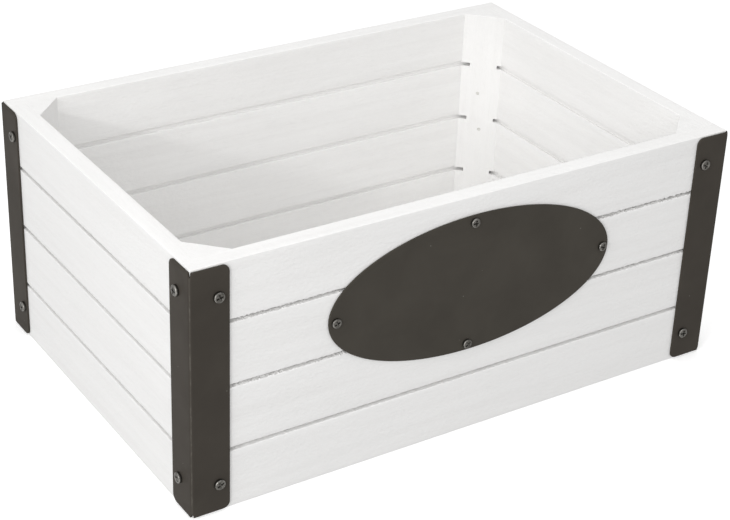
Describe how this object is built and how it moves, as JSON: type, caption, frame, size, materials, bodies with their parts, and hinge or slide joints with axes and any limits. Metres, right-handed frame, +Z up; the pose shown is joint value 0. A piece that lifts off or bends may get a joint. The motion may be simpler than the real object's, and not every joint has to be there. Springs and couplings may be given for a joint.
{
  "type": "open wooden storage crate",
  "caption": "Small open-topped crate of white-painted slats with dark steel corner angles and a blank oval plate on the front.",
  "frame": {"origin": "under the middle of the crate, on the surface that it stands on", "axes": "+X along the length, +Y from the front wall with the oval plate to the back wall, +Z up"},
  "size_m": [0.3668, 0.2468, 0.154],
  "materials": {
    "painted_wood": "thin matt white paint over softwood, faint grain and fuzzy sawn edges",
    "black_steel": "satin warm-black powder coat",
    "screw_steel": "black phosphate, rims worn brighter",
    "brad_steel": "plain wire brads"
  },
  "bodies": {
    "root": {"angle_screws_back_left": "screw_steel", "angle_screws_back_right": "screw_steel", "angle_screws_front_left": "screw_steel", "angle_screws_front_right": "screw_steel", "back_board_1": "painted_wood", "back_board_2": "painted_wood", "back_board_3": "painted_wood", "back_board_4": "painted_wood", "back_wall_brads": "brad_steel", "bottom_batten": "painted_wood", "bottom_cleat_left": "painted_wood", "bottom_cleat_right": "painted_wood", "bottom_slat_1": "painted_wood", "bottom_slat_2": "painted_wood", "bottom_slat_3": "painted_wood", "bottom_slat_4": "painted_wood", "bottom_slat_5": "painted_wood", "cleat_brads": "brad_steel", "corner_angle_back_left": "black_steel", "corner_angle_back_right": "black_steel", "corner_angle_front_left": "black_steel", "corner_angle_front_right": "black_steel", "corner_post_back_left": "painted_wood", "corner_post_back_right": "painted_wood", "corner_post_front_left": "painted_wood", "corner_post_front_right": "painted_wood", "front_board_1": "painted_wood", "front_board_2": "painted_wood", "front_board_3": "painted_wood", "front_board_4": "painted_wood", "front_wall_brads": "brad_steel", "left_board_1": "painted_wood", "left_board_2": "painted_wood", "left_board_3": "painted_wood", "left_board_4": "painted_wood", "left_wall_brads": "brad_steel", "oval_plate": "black_steel", "plate_screws": "screw_steel", "post_brads": "brad_steel", "right_board_1": "painted_wood", "right_board_2": "painted_wood", "right_board_3": "painted_wood", "right_board_4": "painted_wood", "right_wall_brads": "brad_steel", "slat_brads": "brad_steel"}
  },
  "joints": []
}
